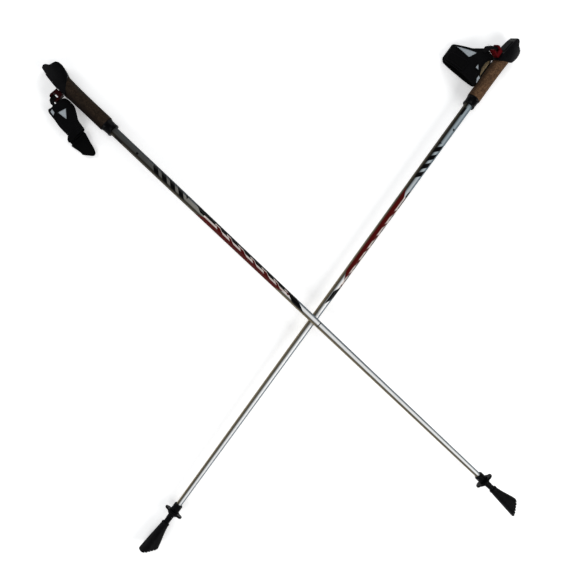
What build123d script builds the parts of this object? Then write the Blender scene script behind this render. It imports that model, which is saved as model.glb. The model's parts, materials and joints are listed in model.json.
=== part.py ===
from build123d import *
import os
from math import asin, atan2, cos, degrees, radians, sin

# A pair of fixed-length Nordic-walking poles, lying crossed on a floor, in millimetres.
#
# One pole is modelled in its own frame: the origin is at the top of the head, on the
# shaft's axis, and +Z points up the pole, so everything on it has a negative z. +X is
# the rear, where the strap is, and +Y is the side that faces up when the pole lies down.
# Both poles share every hard part. Their straps lie differently, so each has its own.

# Driving dimensions of a pole, measured down from the top of the head.
POLE_LENGTH = 1150.0
SHAFT_TOP = 70.0
CORE_TOP = 66.0
CORK_END = 142.0
COLLAR_END = 159.7
RING_MARK = 650.0
SLEEVE_TOP = 1050.6
SHAFT_END = 1061.0
SLEEVE_END = 1062.6
BASKET_END = 1072.0
PAW_TOP = 1088.2
TIP_END = 1126.0

# The sole's front and rear ends in the side view, as (x, distance down).
PAW_SOLE_FRONT = (-15.6, 1132.1)
PAW_SOLE_REAR = (11.6, POLE_LENGTH)

# The shaft: 16 mm down to where the taper starts, 10 mm where the tip sleeve begins.
SHAFT_R = 8.0
SHAFT_LOW_R = 5.0
TAPER_START = 275.0
SHAFT_WALL = 1.1

CORE_R = 10.0
HEAD_HALF = 12.4

# The release: the latch plate sits on the axis side of the button, the tongue passes
# through its window, and a ramp under the tongue pushes the plate down as it leaves.
LATCH_X = (-5.5, -0.5)
LATCH_HALF = 6.5
LATCH_TOP, LATCH_LOW = 36.0, 58.0
TONGUE_HALF = 3.5
TONGUE_TOP, TONGUE_LOW, TONGUE_END_X = 47.5, 52.5, -8.2
RELEASE_SLOPE = 0.12
BUTTON_TRAVEL = 2.7
GAP = 0.3

# The clip and the pin that the strap swings on.
CLIP_X = (14.6, 33.0)
CLIP_Z = (41.8, 58.2)
CLIP_HALF = 5.6
PIN_X, PIN_R = 28.0, 1.6
WEB_Z = (45.6, 54.4)

# How the poles lie: heading of each pole from head to tip, its roll that lifts the rear,
# the height of its axis at the grip and at the tip, and where along them they cross.
HEADING = {"lower": 233.55, "upper": -43.26}
ROLL = {"lower": 32.0, "upper": 0.0}
CROSSING = {"lower": 652.1, "upper": 638.6}
GRIP_AT = 100.0
AXIS_AT_GRIP = {"lower": 18.0, "upper": 13.9}
AXIS_AT_BASKET = 14.0
BASKET_AT = 1067.0
BASKET_ANGLE = -22.0


def shaft_radius(down):
    """The shaft's outside radius at a distance down the pole."""
    taper = (SHAFT_R - SHAFT_LOW_R) / (SLEEVE_TOP - TAPER_START)
    return SHAFT_R - taper * max(0.0, down - TAPER_START)


def turned(points):
    """A body of revolution about the pole's axis, from (radius, distance down) points."""
    with BuildPart() as body:
        with BuildSketch(Plane.XZ):
            with BuildLine():
                Polyline(*[(radius, -down) for radius, down in points], close=True)
            make_face()
        revolve(axis=Axis.Z)
    return body.part


def flat_outline(points, low, high):
    """A prism along Y from a side-view outline of (x, distance down) points."""
    with BuildPart() as prism:
        with BuildSketch(Plane.XZ.offset(-low)):
            with BuildLine():
                Polyline(*[(x, -down) for x, down in points], close=True)
            make_face()
        extrude(amount=-(high - low))
    return prism.part


# ---------------------------------------------------------------- shaft and tip


def shaft():
    """Tapered aluminium tube with a shallow turned groove part of the way down."""
    groove = 0.35
    low = shaft_radius(SHAFT_END)
    mark = shaft_radius(RING_MARK)
    return turned([
        (SHAFT_R - SHAFT_WALL, SHAFT_TOP),
        (SHAFT_R, SHAFT_TOP),
        (SHAFT_R, TAPER_START),
        (mark, RING_MARK - 0.8),
        (mark - groove, RING_MARK - 0.5),
        (mark - groove, RING_MARK + 0.5),
        (mark, RING_MARK + 0.8),
        (low, SHAFT_END),
        (low - SHAFT_WALL, SHAFT_END),
        (SHAFT_R - SHAFT_WALL, TAPER_START),
    ])


def flex_tip():
    """Plastic tip: a ribbed sleeve on the shaft, the basket's seat and a tapered neck."""
    rib_pitch, rib_height = 2.4, 0.45
    ribs = []
    for turn in range(4):
        start = SLEEVE_TOP + 1.6 + turn * rib_pitch
        ribs += [(7.5, start), (7.5 + rib_height, start + 0.4)]
        ribs += [(7.5 + rib_height, start + 1.2), (7.5, start + 1.6)]
    top, end = shaft_radius(SLEEVE_TOP) + 0.01, shaft_radius(SHAFT_END) + 0.01
    return turned(
        [(top, SLEEVE_TOP), (6.6, SLEEVE_TOP), (7.5, SLEEVE_TOP + 1.0)]
        + ribs
        + [
            (7.5, SLEEVE_END),
            (6.0, SLEEVE_END),
            (6.0, BASKET_END),
            (5.6, BASKET_END + 1.0),
            (5.0, PAW_TOP + 4.0),
            (3.6, TIP_END - 5.0),
            (1.5, TIP_END - 5.0),
            (1.5, TIP_END - 14.0),
            (0.0, TIP_END - 14.0),
            (0.0, SHAFT_END),
            (end, SHAFT_END),
        ]
    )


def carbide_tip():
    """Hard-metal point with a concave crown, its stem set in the flex tip."""
    return turned([
        (0.0, TIP_END - 14.0),
        (1.5, TIP_END - 14.0),
        (1.5, TIP_END - 5.0),
        (2.4, TIP_END - 5.0),
        (2.4, TIP_END - 1.0),
        (1.7, TIP_END),
        (0.0, TIP_END - 1.0),
    ])


def basket(lobe_angle):
    """Small two-lobed basket screwed on the flex tip, stopped where its thread is tight."""
    bore, hub_r, plate_r = 6.08, 8.6, 12.8
    lobe_at, lobe_r = 10.6, 7.2
    plate_top, plate_low = SLEEVE_END + 2.6, SLEEVE_END + 6.2
    bore_length = 43.0
    with BuildPart() as disc:
        with BuildSketch(Plane.XY.offset(-plate_low)):
            Circle(plate_r)
            with PolarLocations(lobe_at, 2, start_angle=lobe_angle):
                Circle(lobe_r)
        extrude(amount=plate_low - plate_top)
        rims = disc.edges().filter_by(GeomType.CIRCLE)
        fillet(rims, radius=1.2)
        with BuildSketch(Plane.XY.offset(-BASKET_END + GAP)):
            Circle(hub_r)
        extrude(amount=BASKET_END - SLEEVE_END - 2 * GAP)
        with Locations((0, 0, -BASKET_END)):
            Cylinder(bore, bore_length, mode=Mode.SUBTRACT)
    return disc.part


def tilted_plane(x, down, tilt):
    """A section plane at (x, distance down), its rear edge lowered by a tilt in degrees."""
    run, fall = cos(radians(tilt)), sin(radians(tilt))
    return Plane(origin=(x, 0, -down), x_dir=(run, 0, -fall), z_dir=(fall, 0, run))


def paw():
    """Rubber paw: a collar round the tip, a flared foot and a slanted, grooved sole."""
    front, rear = PAW_SOLE_FRONT, PAW_SOLE_REAR
    slope = degrees(atan2(rear[1] - front[1], rear[0] - front[0]))
    sole = tilted_plane((front[0] + rear[0]) / 2, (front[1] + rear[1]) / 2, slope)
    sole_length = (rear[0] - front[0]) / cos(radians(slope))
    foot_width = 21.0
    # Each section: centre x, distance down, tilt, length front to rear, width, corner.
    sections = [
        (0.0, PAW_TOP + 2.5, 0.0, 13.6, 13.6, 6.7),
        (-0.3, PAW_TOP + 16.0, 8.0, 17.0, 15.8, 7.4),
        (-1.2, PAW_TOP + 32.0, 19.0, 22.8, 18.8, 8.0),
    ]
    with BuildPart() as foot:
        for x, down, tilt, length, width, corner in sections:
            with BuildSketch(tilted_plane(x, down, tilt)):
                RectangleRounded(length, width, corner)
        with BuildSketch(sole):
            RectangleRounded(sole_length, foot_width, 8.5)
        loft()
        with BuildSketch(sole):
            with GridLocations(5.2, 1, 5, 1):
                Rectangle(1.5, foot_width + 2)
        extrude(amount=1.3, mode=Mode.SUBTRACT)
    collar = turned([
        (0.0, PAW_TOP), (6.4, PAW_TOP), (7.4, PAW_TOP + 1.0), (7.4, PAW_TOP + 3.4),
        (6.6, PAW_TOP + 4.6), (0.0, PAW_TOP + 4.6),
    ])
    bore = turned([
        (0.0, PAW_TOP - 1),
        (5.4, PAW_TOP - 1),
        (5.1, PAW_TOP + 4.0),
        (3.75, TIP_END - 4.8),
        (2.75, TIP_END - 4.6),
        (2.75, TIP_END + 0.3),
        (4.2, TIP_END + 0.3),
        (4.2, TIP_END + 1.6),
        (0.0, TIP_END + 1.6),
    ])
    return foot.part + collar - bore


def paw_washer():
    """Steel disc at the bottom of the paw's bore, under the point."""
    return turned([
        (0.0, TIP_END + 0.35),
        (4.2, TIP_END + 0.35),
        (4.2, TIP_END + 1.6),
        (0.0, TIP_END + 1.6),
    ])


# ---------------------------------------------------------------- grip and head

# The head's side view, from the beak round the rear, the cork joint, the front hump and
# the V notch back to the beak, as (x, distance down).
HEAD_OUTLINE = [
    (-2.2, 1.6), (2.0, 0.0), (6.4, 2.6), (9.0, 12.0), (11.3, 28.0), (13.4, 45.0), (13.9, 62.5),
    (-14.8, 42.0), (-19.0, 32.0), (-20.9, 23.0), (-20.4, 15.2), (-17.2, 10.6), (-6.4, 8.4),
]
JOINT_FRONT, JOINT_REAR = (-14.8, 42.0), (13.9, 62.5)
BUTTON_HALF = 5.0


def joint_plane():
    """The slanted joint between the head and the cork, facing up the pole."""
    run, fall = JOINT_REAR[0] - JOINT_FRONT[0], JOINT_REAR[1] - JOINT_FRONT[1]
    tilt = atan2(fall, run)
    return Plane(
        origin=(JOINT_FRONT[0], 0, -JOINT_FRONT[1]),
        x_dir=(cos(tilt), 0, -sin(tilt)),
        z_dir=(sin(tilt), 0, cos(tilt)),
    )


def head_envelope():
    """Rounded cross-sections of the head, wide at the palm and narrow at the beak."""
    stations = ((-3.0, 7.4), (12.0, 10.2), (30.0, 12.2), (48.0, HEAD_HALF), (68.0, HEAD_HALF))
    with BuildPart() as body:
        for down, half in stations:
            with BuildSketch(Plane.XY.offset(-down)):
                with Locations((-4.0, 0)):
                    Ellipse(27.0, half)
        loft()
    return body.part


def button_outline(grow=0.0, above=0.0, below=0.0):
    """Side view of the release button, or with growth the pocket that it moves in."""
    step, foot = 24.0, LATCH_TOP + below
    return [
        (-15.6 - grow, 8.0 - above), (-4.2 + grow, 5.0 - above),
        (-4.2 + grow, step), (-3.0 + grow, step), (-3.0 + grow, foot),
        (-7.6 - grow, foot), (-7.6 - grow, step + below), (-15.6 - grow, step + below),
    ]


def head():
    """Moulded head with the button's pocket, the latch cavity and the clip's slot."""
    with BuildPart() as shell:
        with BuildSketch(Plane.XZ):
            with BuildLine():
                Polyline(*[(x, -down) for x, down in HEAD_OUTLINE], close=True)
            make_face()
        extrude(amount=HEAD_HALF + 1, both=True)
        upright = shell.edges().filter_by(Axis.Y)
        fillet(upright.sort_by(Axis.Z)[-3:], radius=1.6)
        hump = [edge for edge in shell.edges().filter_by(Axis.Y)
                if edge.center().X < -15 and edge.center().Z > -36]
        fillet(hump, radius=2.4)
        add(head_envelope(), mode=Mode.INTERSECT)
        with BuildSketch(Plane.XY.offset(-CORE_TOP)):
            Circle(CORE_R)
        extrude(amount=CORE_TOP - 44.0)
        pocket = button_outline(GAP, 4.5, BUTTON_TRAVEL + 2 * GAP)
        add(flat_outline(pocket, -BUTTON_HALF - GAP, BUTTON_HALF + GAP), mode=Mode.SUBTRACT)
        latch_room = [
            (LATCH_X[0] - GAP, 35.5), (LATCH_X[1] + GAP, 35.5),
            (LATCH_X[1] + GAP, CORE_TOP), (LATCH_X[0] - GAP, CORE_TOP),
        ]
        add(flat_outline(latch_room, -LATCH_HALF - GAP, LATCH_HALF + GAP), mode=Mode.SUBTRACT)
        slot = [
            (TONGUE_END_X - GAP, TONGUE_TOP - GAP), (20.0, TONGUE_TOP - GAP),
            (20.0, TONGUE_LOW + 1.6 + GAP), (TONGUE_END_X - GAP, TONGUE_LOW + 1.6 + GAP),
        ]
        add(flat_outline(slot, -TONGUE_HALF - GAP, TONGUE_HALF + GAP), mode=Mode.SUBTRACT)
    return shell.part


def head_pad():
    """Soft pad set on the rear face of the head, under the heel of the hand."""
    with BuildPart() as pad:
        with BuildSketch(Plane.XZ):
            with BuildLine():
                Polyline((9.3, -14.0), (11.4, -28.0), (12.9, -40.0), (14.0, -39.6),
                         (12.6, -27.8), (10.5, -13.7), close=True)
            make_face()
        extrude(amount=6.5, both=True)
        fillet(pad.faces().sort_by(Axis.X)[-1].edges().filter_by(Axis.Y), radius=0.5)
    return pad.part


def release_button():
    """Thumb button in the notch, with the stem that presses on the latch plate."""
    with BuildPart() as button:
        add(flat_outline(button_outline(), -BUTTON_HALF, BUTTON_HALF))
        brow = button.faces().sort_by(Axis.Z)[-1]
        fillet(brow.edges(), radius=1.0)
    return button.part


def tongue_low(x):
    """Distance down to the tongue's ramped underside, thicker towards its inner end."""
    return TONGUE_LOW + RELEASE_SLOPE * max(0.0, LATCH_X[1] - x)


def latch_plate():
    """Sprung plate with a window for the tongue; the window's sill is the catch."""
    inner, outer = LATCH_X
    body = flat_outline(
        [(inner, LATCH_TOP), (outer, LATCH_TOP), (outer, LATCH_LOW), (inner, LATCH_LOW)],
        -LATCH_HALF, LATCH_HALF,
    )
    window = flat_outline(
        [(inner - 1, 44.0), (outer + 1, 44.0),
         (outer + 1, tongue_low(outer) - RELEASE_SLOPE + GAP),
         (inner - 1, tongue_low(inner - 1) + GAP)],
        -TONGUE_HALF - GAP, TONGUE_HALF + GAP,
    )
    return body - window


def latch_spring():
    """Coil spring between the latch plate and the top of the grip core."""
    wire, coil_r, rest = 0.35, 1.9, CORE_TOP - LATCH_LOW
    with BuildPart() as spring:
        with BuildLine(Plane(((LATCH_X[0] + LATCH_X[1]) / 2, 0, -CORE_TOP + wire + 0.1))):
            coil = Helix(pitch=1.5, height=rest - 2 * wire - 0.2, radius=coil_r)
        with BuildSketch(Plane(coil @ 0, z_dir=coil % 0)):
            Circle(wire)
        sweep()
    return spring.part


def grip_core():
    """Hard plastic tube glued on the shaft, closed at its top."""
    return turned([
        (0.0, CORE_TOP), (CORE_R, CORE_TOP), (CORE_R, 150.0), (SHAFT_R, 150.0),
        (SHAFT_R, SHAFT_TOP), (0.0, SHAFT_TOP),
    ])


def cork_sleeve():
    """Slightly waisted cork, cut off at the slanted joint with the head."""
    # Distance down, half-depth front to rear, half-width side to side.
    sections = [(40, 14.8, 12.4), (54, 14.1, 12.3), (68, 13.6, 12.1), (86, 13.3, 11.9),
                (106, 13.2, 11.8), (126, 13.3, 11.9), (CORK_END, 13.4, 12.0)]
    with BuildPart() as cork:
        for down, half_depth, half_width in sections:
            with BuildSketch(Plane.XY.offset(-down)):
                Ellipse(half_depth, half_width)
        loft()
        with BuildSketch(Plane.XY.offset(-CORK_END)):
            Circle(CORE_R)
        extrude(amount=CORK_END - 40, mode=Mode.SUBTRACT)
        split(bisect_by=joint_plane(), keep=Keep.BOTTOM)
    return cork.part


def grip_collar():
    """Ring that ends the grip, over the core's foot and down onto the shaft."""
    return turned([
        (CORE_R, CORK_END), (12.0, CORK_END), (12.4, CORK_END + 1.4), (11.6, CORK_END + 4.4),
        (11.2, COLLAR_END - 6.0), (11.8, COLLAR_END - 1.6), (11.1, COLLAR_END),
        (8.8, COLLAR_END), (SHAFT_R, COLLAR_END - 1.2), (SHAFT_R, 150.0), (CORE_R, 150.0),
    ])


# ---------------------------------------------------------------- clip and strap


def strap_clip():
    """Clip with a ramped tongue, a body behind the head and a fork for the pin."""
    inner, outer = CLIP_X
    top, low = CLIP_Z
    tongue = [
        (TONGUE_END_X, TONGUE_TOP), (inner + 1, TONGUE_TOP), (inner + 1, TONGUE_LOW),
        (LATCH_X[1], TONGUE_LOW), (TONGUE_END_X, tongue_low(TONGUE_END_X)),
    ]
    with BuildPart() as clip:
        with BuildSketch(Plane.XZ.offset(-CLIP_HALF)):
            with BuildLine():
                Polyline((inner, -top - 1), (outer - 4, -top), (outer, -top - 2),
                         (outer, -low + 2), (outer - 4, -low), (inner, -low + 1), close=True)
            make_face()
        extrude(amount=2 * CLIP_HALF)
        outer_rim = clip.edges().group_by(Axis.X)[-1].filter_by(Axis.Z)
        fillet(clip.edges().filter_by(Axis.X) + outer_rim, radius=1.5)
        add(flat_outline(tongue, -TONGUE_HALF, TONGUE_HALF))
        with Locations((outer, 0, -(top + low) / 2)):
            Box(2 * (outer - 22.6), 20, WEB_Z[1] - WEB_Z[0] + 2 * GAP, mode=Mode.SUBTRACT)
        with Locations((PIN_X, 0, -(top + low) / 2)):
            Cylinder(PIN_R, low - top + 4, mode=Mode.SUBTRACT)
    return clip.part


def clip_pin():
    """Steel pin across the clip's fork."""
    top, low = CLIP_Z
    return turned([(0, top + 0.8), (PIN_R, top + 0.8), (PIN_R, low - 0.8), (0, low - 0.8)]).moved(
        Location((PIN_X, 0, 0))
    )


# Glove strap: the thumb band's width, the stretch of the pole beside which a loop lies, and
# the outlines of each strap's flap and hook patch as (x, distance down).
THUMB_BAND = 3.2
STRAP_SPAN = (40.0, 170.0)
LOWER_TAB = [(48, 97), (84, 97), (84, 114), (50, 118)]
LOWER_PATCH = [(52, 100), (72, 100), (72, 113), (53, 115)]
UPPER_TAB = [(35, 123), (68, 123), (66.5, 146), (54, 162), (49, 161), (43, 143)]
UPPER_PATCH = [(45, 136), (62, 136), (62, 146), (53, 157), (50, 156)]


def strap_webbing(strap):
    """Webbing looped round the pin, with an arm that widens down to the cuff."""
    loop_r, thick, half, arm_end = PIN_R + 0.08, 1.7, 1.2, 39.4
    pin_x, pin_y = strap.pin
    widens = pin_x + 8.0 * cos(atan2(pin_y - strap.arm_y, arm_end - pin_x))
    plan = [(pin_x - 8, WEB_Z[0]), (pin_x + 6, WEB_Z[0]), (arm_end, 54), (arm_end, 64),
            (widens, 64), (widens, WEB_Z[1]), (pin_x - 8, WEB_Z[1])]
    with BuildPart() as web:
        with BuildSketch(Plane.XY.offset(-64)):
            with Locations((pin_x, pin_y)):
                Circle(loop_r + thick)
            with BuildLine():
                Polyline((pin_x, pin_y - half), (arm_end, strap.arm_y - half),
                         (arm_end, strap.arm_y + half), (pin_x, pin_y + half), close=True)
            make_face()
            with Locations((pin_x, pin_y)):
                Circle(loop_r, mode=Mode.SUBTRACT)
        extrude(amount=64 - WEB_Z[0])
        add(flat_outline(plan, -40, 40), mode=Mode.INTERSECT)
    return web.part


class Strap:
    """How one glove strap lies: its loop's section and the outlines of its pieces.

    The far side runs from the clip round to the wrist end. The near side and the thumb
    edge run back along the grip, for the palm layer and for the layer on top of it.
    """

    def __init__(self, pin, arm_y, centre, half, tilt, far, near, edge, panels):
        self.pin, self.arm_y = pin, arm_y
        self.centre, self.half, self.tilt = centre, half, tilt
        self.palm = far + near
        self.back = far + edge
        self.band = edge + [(x + THUMB_BAND, down) for x, down in reversed(edge)]
        self.panels = panels

    def layer(self, upper, outline, grow=0.0, thick=1.8):
        """The wall of the loop's upper or lower half inside an outline."""
        outer = (self.half[0] + grow, self.half[1] + grow)
        tilt, away = radians(self.tilt), -1 if upper else 1
        section = Plane(
            origin=(*self.centre, -STRAP_SPAN[1]), x_dir=(cos(tilt), sin(tilt), 0), z_dir=(0, 0, 1)
        )
        with BuildPart() as shell:
            with BuildSketch(section):
                Ellipse(*outer)
                Ellipse(outer[0] - thick, outer[1] - thick, mode=Mode.SUBTRACT)
                with Locations((0, away * 20)):
                    Rectangle(4 * outer[0], 40, mode=Mode.SUBTRACT)
            extrude(amount=STRAP_SPAN[1] - STRAP_SPAN[0])
            add(flat_outline(outline, -40, 40), mode=Mode.INTERSECT)
        return shell.part


def rolled_pin(side):
    """Where the clip's pin is across the pole, once the pole has rolled."""
    roll = radians(ROLL[side])
    return (PIN_X * cos(roll), PIN_X * sin(roll))


STRAPS = {
    # Opened into a trapezium beside the grip.
    "lower": Strap(
        pin=rolled_pin("lower"), arm_y=5.6,
        centre=(54.0, -5.2), half=(38.4, 9.0), tilt=-14.0,
        far=[(39.5, 59.5), (57, 70), (91, 80), (93, 92), (92, 109), (85, 116), (50, 120), (17, 126)],
        near=[(17, 104), (20, 76), (26, 66), (33, 64.5), (39.5, 64.5)],
        edge=[(17, 112), (21, 100), (24.5, 88), (26, 78), (30, 69), (39.5, 64.5)],
        panels=[[(46, 72), (85, 82), (53, 89)], [(27.5, 98), (35, 98), (34.5, 87)]],
    ),
    # Folded together along the grip.
    "upper": Strap(
        pin=rolled_pin("upper"), arm_y=0.6,
        centre=(40.0, -4.6), half=(20.5, 7.6), tilt=0.0,
        far=[(39.5, 57), (48, 58), (53, 62), (56, 78), (59, 92), (60, 108), (60, 120)],
        near=[(33, 120), (29, 100), (20.5, 88), (20.5, 70), (26, 64.5), (39.5, 64.5)],
        edge=[(33, 119.9), (31, 104), (26, 92), (24, 80), (27, 70), (39.5, 64.5)],
        panels=[[(31, 77.5), (42, 73.7), (40.5, 88.8)], [(45, 60), (51, 63), (52, 71), (46, 69)]],
    ),
}


def cuff_back(strap):
    """Upper fabric layer of the loop, with room for its panels and the thumb band."""
    layer = strap.layer(True, strap.back)
    for outline in strap.panels + [strap.band]:
        layer -= flat_outline(outline, -40, 40)
    return layer


def cuff_palm(strap):
    """Lower fabric layer of the loop, on the floor."""
    return strap.layer(False, strap.palm)


def cuff_lining(strap):
    """Soft lining on the inside of the lower layer."""
    return strap.layer(False, strap.palm, grow=-1.8, thick=0.9)


def large_panel(strap):
    """Light panel let into the upper layer."""
    return strap.layer(True, strap.panels[0])


def small_panel(strap):
    """Second, smaller light panel."""
    return strap.layer(True, strap.panels[1])


def thumb_loop(strap):
    """Thin band round the thumb opening."""
    return strap.layer(True, strap.band)


def wrist_tab(strap):
    """Closing flap at the wrist end of the cuff."""
    if strap is STRAPS["lower"]:
        return strap.layer(True, LOWER_TAB, grow=3.2, thick=1.6)
    return flat_outline(UPPER_TAB, -11.6, -9.6)


def hook_patch(strap):
    """Hook-and-loop patch under the flap."""
    if strap is STRAPS["lower"]:
        return strap.layer(True, LOWER_PATCH, grow=1.6, thick=1.0)
    return flat_outline(UPPER_PATCH, -12.4, -11.6)


HARD_PIECES = [
    shaft, flex_tip, carbide_tip, paw, paw_washer, grip_core, cork_sleeve, grip_collar,
    head, head_pad, release_button, latch_plate, latch_spring, strap_clip, clip_pin,
]
STRAP_PIECES = [
    strap_webbing, cuff_back, cuff_palm, cuff_lining, large_panel, small_panel, thumb_loop,
    wrist_tab, hook_patch,
]


def axis_rise(side):
    """How much the pole's axis rises per millimetre, from the grip to the tip."""
    at_grip = AXIS_AT_GRIP[side]
    if side == "lower":
        return (AXIS_AT_BASKET - at_grip) / (BASKET_AT - GRIP_AT)
    under = AXIS_AT_GRIP["lower"] + axis_rise("lower") * (CROSSING["lower"] - GRIP_AT)
    over = under + shaft_radius(CROSSING["lower"]) + shaft_radius(CROSSING["upper"]) + GAP
    return (over - at_grip) / (CROSSING["upper"] - GRIP_AT)


def lying_location(side):
    """Where a pole lies before it rolls, with the two poles' crossing above the origin."""
    rise = asin(axis_rise(side))
    heading = radians(HEADING[side])
    down_pole = Vector(cos(heading) * cos(rise), sin(heading) * cos(rise), sin(rise))
    height = AXIS_AT_GRIP[side] - axis_rise(side) * GRIP_AT
    start = down_pole * -CROSSING[side]
    rear = Vector(sin(heading), -cos(heading), 0)
    return Plane(origin=(start.X, start.Y, height), x_dir=rear, z_dir=down_pole * -1).location


def pole_location(side):
    """Where a pole's own frame lies, rolled about its axis."""
    return lying_location(side) * Location((0, 0, 0), (0, 0, ROLL[side]))


def all_pieces():
    """Every piece of both poles with its node name, lying over the crossing."""
    pieces = {}
    for side in ("lower", "upper"):
        for make in HARD_PIECES:
            pieces[f"{side}_{make.__name__}"] = make().moved(pole_location(side))
        lobes = basket(BASKET_ANGLE - ROLL[side])
        pieces[f"{side}_basket"] = lobes.moved(pole_location(side))
        for make in STRAP_PIECES:
            pieces[f"{side}_{make.__name__}"] = make(STRAPS[side]).moved(lying_location(side))
    return pieces


def centring(pieces):
    """The move that puts the origin under the middle of the pair, on the floor."""
    boxes = [piece.bounding_box() for piece in pieces.values()]
    low = [min(tuple(box.min)[axis] for box in boxes) for axis in range(3)]
    high = [max(tuple(box.max)[axis] for box in boxes) for axis in range(3)]
    return Location((-(low[0] + high[0]) / 2, -(low[1] + high[1]) / 2, -low[2]))


os.makedirs("parts", exist_ok=True)
PIECES = all_pieces()
TO_ROW = centring(PIECES)
for name, shape in PIECES.items():
    piece = shape.moved(TO_ROW)
    piece.label = name
    export_step(piece, f"parts/{name}.step")
print("origin moved by", TO_ROW.position)
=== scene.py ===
"""A pair of trekking poles lying crossed: looks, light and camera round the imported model."""

import json
import math
import random

import bpy
import numpy as np
from mathutils import Matrix, Vector, geometry


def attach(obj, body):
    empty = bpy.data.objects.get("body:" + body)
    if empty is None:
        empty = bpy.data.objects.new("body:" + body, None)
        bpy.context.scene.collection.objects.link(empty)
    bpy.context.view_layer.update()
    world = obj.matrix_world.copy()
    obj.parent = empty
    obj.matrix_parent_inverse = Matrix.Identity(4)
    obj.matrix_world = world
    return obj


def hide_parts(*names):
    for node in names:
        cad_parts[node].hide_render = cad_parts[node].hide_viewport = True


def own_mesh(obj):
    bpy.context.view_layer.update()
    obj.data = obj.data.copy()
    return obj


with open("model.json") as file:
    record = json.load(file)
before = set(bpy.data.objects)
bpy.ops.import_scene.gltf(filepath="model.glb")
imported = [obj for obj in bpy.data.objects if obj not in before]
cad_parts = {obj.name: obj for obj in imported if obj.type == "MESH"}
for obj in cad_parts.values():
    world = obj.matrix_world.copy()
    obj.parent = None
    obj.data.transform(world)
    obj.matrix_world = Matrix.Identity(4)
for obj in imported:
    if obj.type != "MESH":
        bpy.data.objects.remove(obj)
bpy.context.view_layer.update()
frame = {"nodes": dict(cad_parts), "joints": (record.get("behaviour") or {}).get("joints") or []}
NODES = frame["nodes"]
JOINTS = {joint["name"]: joint for joint in frame["joints"]}
SIDES = ("lower", "upper")
MM = 0.001
DEGREES = 180 / math.pi

# Distances down a pole from the top of its head, in millimetres.
BASKET_AT = 1067.0
CROSSING = {"lower": 652.1, "upper": 638.6}

# Degrees from a pole's own front to the side of its shaft that faces up.
ROLL = {"lower": 32.0, "upper": 0.0}


# ---------------------------------------------------------------- pole frames

def pole_frame(side, rolled=True):
    """A pole's own frame in metres: +Z up the pole, +X to the strap, origin at its top."""
    turn = JOINTS[f"{side}_basket_turn"]
    up = Vector(turn["axis"]).normalized()
    if rolled:
        rear = Vector(JOINTS[f"{side}_clip_release"]["axis"]).normalized()
    else:
        rear = Vector((-up.y, up.x, 0)).normalized()
    origin = Vector(turn["pos_m"]) + up * BASKET_AT * MM
    matrix = Matrix((rear, up.cross(rear), up)).transposed().to_4x4()
    matrix.translation = origin
    return matrix


POLE = {side: pole_frame(side) for side in SIDES}
LYING = {side: pole_frame(side, rolled=False) for side in SIDES}


# ---------------------------------------------------------------- procedural materials

class Value:
    """A shader socket that takes part in arithmetic."""

    def __init__(self, shader, socket):
        self.shader, self.socket = shader, socket

    def __add__(self, other):
        return self.shader.math("ADD", self, other)

    def __sub__(self, other):
        return self.shader.math("SUBTRACT", self, other)

    def __rsub__(self, other):
        return self.shader.math("SUBTRACT", other, self)

    def __mul__(self, other):
        return self.shader.math("MULTIPLY", self, other)

    def __mod__(self, other):
        return self.shader.math("FLOORED_MODULO", self, other)

    def clamp(self):
        return self.shader.math("ADD", self, 0.0, clamp=True)


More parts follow.
